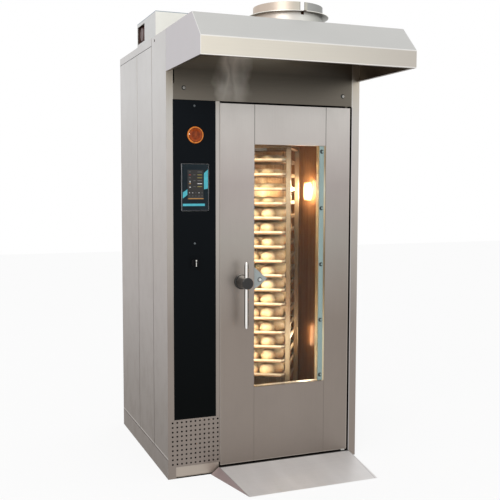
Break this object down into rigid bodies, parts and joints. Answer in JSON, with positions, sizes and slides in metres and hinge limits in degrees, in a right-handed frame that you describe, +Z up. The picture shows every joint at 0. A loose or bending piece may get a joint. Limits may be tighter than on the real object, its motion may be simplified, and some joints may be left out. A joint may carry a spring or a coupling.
{
  "type": "rotating rack oven",
  "caption": "Bakery oven with a tall glazed door, a side control column, a steam hood with duct collar, a sill ramp and a rolling tray rack on a chain driven turntable.",
  "frame": {"origin": "middle of the cabinet footprint on the floor, the hood and ramp left out", "axes": "+X to the right seen from the front, +Y from the front to the rear, +Z up"},
  "size_m": [1.11, 1.633, 2.461],
  "materials": {
    "casing_steel": "brushed, satin",
    "door_steel": "brushed, satin",
    "hood_steel": "brushed, bright",
    "dark_steel": "brushed, dark, reflecting the hood underside",
    "ramp_steel": "rolled, scuffed",
    "black_glass": "high gloss black",
    "lamp_lens": "amber lens in a bright ring",
    "screen": "dark glossy display in a silver frame",
    "black_plastic": "fine texture",
    "light_paint": "smooth cream white",
    "motor_paint": "dark red brown",
    "grey_paint": "smooth",
    "drive_steel": "machined",
    "chamber_steel": "heat tinted",
    "heater_steel": "oxidised",
    "lamp_glass": "frosted",
    "rack_steel": "welded tube",
    "tray_metal": "baked aluminium sheet",
    "wheel_plastic": "heat resistant moulding",
    "clear_glass": "clear",
    "strip_steel": "satin blue grey",
    "seal_rubber": "silicone",
    "bright_metal": "polished bar on a dark satin hub"
  },
  "bodies": {
    "cabinet": {"base_pan": "casing_steel", "side_left_front": "casing_steel", "side_left_rear": "casing_steel", "side_right": "casing_steel", "rear_panel": "casing_steel", "roof_panel": "casing_steel", "column_front": "casing_steel", "header_panel": "dark_steel", "control_glass": "black_glass", "signal_lamp": "lamp_lens", "touch_screen": "screen", "hood_canopy": "hood_steel", "exhaust_collar": "hood_steel", "roof_box": "light_paint", "gearmotor": "motor_paint", "drive_chain": "drive_steel", "chamber_liner": "chamber_steel", "heating_register": "heater_steel", "chamber_lamp": "lamp_glass", "fan_motor": "grey_paint", "air_baffle": "chamber_steel", "ramp": "ramp_steel"},
    "door": {"door_stile_left": "door_steel", "door_stile_right": "door_steel", "door_rail_top": "door_steel", "door_rail_bottom": "door_steel", "door_core": "chamber_steel", "glass_outer": "clear_glass", "glass_inner": "clear_glass", "clamp_strip": "strip_steel", "door_gasket": "seal_rubber"},
    "handle": {"handle_lever": "bright_metal"},
    "switch": {"switch_knob": "black_plastic"},
    "rack": {"turntable": "chamber_steel", "drive_shaft": "drive_steel", "rack_side_left": "rack_steel", "rack_side_right": "rack_steel", "rack_base": "rack_steel", "tray_01": "tray_metal", "tray_02": "tray_metal", "tray_03": "tray_metal", "tray_04": "tray_metal", "tray_05": "tray_metal", "tray_06": "tray_metal", "tray_07": "tray_metal", "tray_08": "tray_metal", "tray_09": "tray_metal", "tray_10": "tray_metal", "tray_11": "tray_metal", "tray_12": "tray_metal", "tray_13": "tray_metal", "tray_14": "tray_metal", "tray_15": "tray_metal", "tray_16": "tray_metal"},
    "motor_shaft": {"motor_sprocket": "drive_steel"},
    "fan": {"fan_impeller": "drive_steel"},
    "rack_wheel_1": {"wheel_1": "wheel_plastic"},
    "rack_wheel_2": {"wheel_2": "wheel_plastic"},
    "rack_wheel_3": {"wheel_3": "wheel_plastic"},
    "rack_wheel_4": {"wheel_4": "wheel_plastic"}
  },
  "joints": [
    {"name": "door_swing", "type": "hinge", "parent": "cabinet", "child": "door", "pos_m": [0.479, -0.5195, 1], "axis": [0, 0, 1], "range_deg": [0, 115]},
    {"name": "handle_turn", "type": "hinge", "parent": "door", "child": "handle", "pos_m": [-0.147, -0.6135, 1.033], "axis": [0, -1, 0], "range_deg": [0, 90]},
    {"name": "switch_turn", "type": "hinge", "parent": "cabinet", "child": "switch", "pos_m": [-0.4065, -0.5535, 1.1435], "axis": [0, 1, 0], "range_deg": [0, 90]},
    {"name": "rack_turn", "type": "hinge", "parent": "cabinet", "child": "rack", "pos_m": [0.125, -0.0785, 0], "axis": [0, 0, 1], "continuous": true},
    {"name": "motor_turn", "type": "hinge", "parent": "cabinet", "child": "motor_shaft", "pos_m": [-0.324, 0.0115, 2.35], "axis": [0, 0, 1], "continuous": true},
    {"name": "fan_spin", "type": "hinge", "parent": "cabinet", "child": "fan", "pos_m": [0.125, 0.1665, 2.1], "axis": [0, 0, 1], "continuous": true},
    {"name": "wheel_1_roll", "type": "hinge", "parent": "rack", "child": "rack_wheel_1", "pos_m": [-0.13838, -0.1747, 0.0849], "axis": [0.866, -0.5, 0], "continuous": true},
    {"name": "wheel_2_roll", "type": "hinge", "parent": "rack", "child": "rack_wheel_2", "pos_m": [0.17338, -0.3547, 0.0849], "axis": [0.866, -0.5, 0], "continuous": true},
    {"name": "wheel_3_roll", "type": "hinge", "parent": "rack", "child": "rack_wheel_3", "pos_m": [0.07662, 0.1977, 0.0849], "axis": [0.866, -0.5, 0], "continuous": true},
    {"name": "wheel_4_roll", "type": "hinge", "parent": "rack", "child": "rack_wheel_4", "pos_m": [0.38838, 0.0177, 0.0849], "axis": [0.866, -0.5, 0], "continuous": true}
  ],
  "couplings": [
    {"joint": "motor_turn", "follows": "rack_turn", "ratio": 2.75}
  ]
}
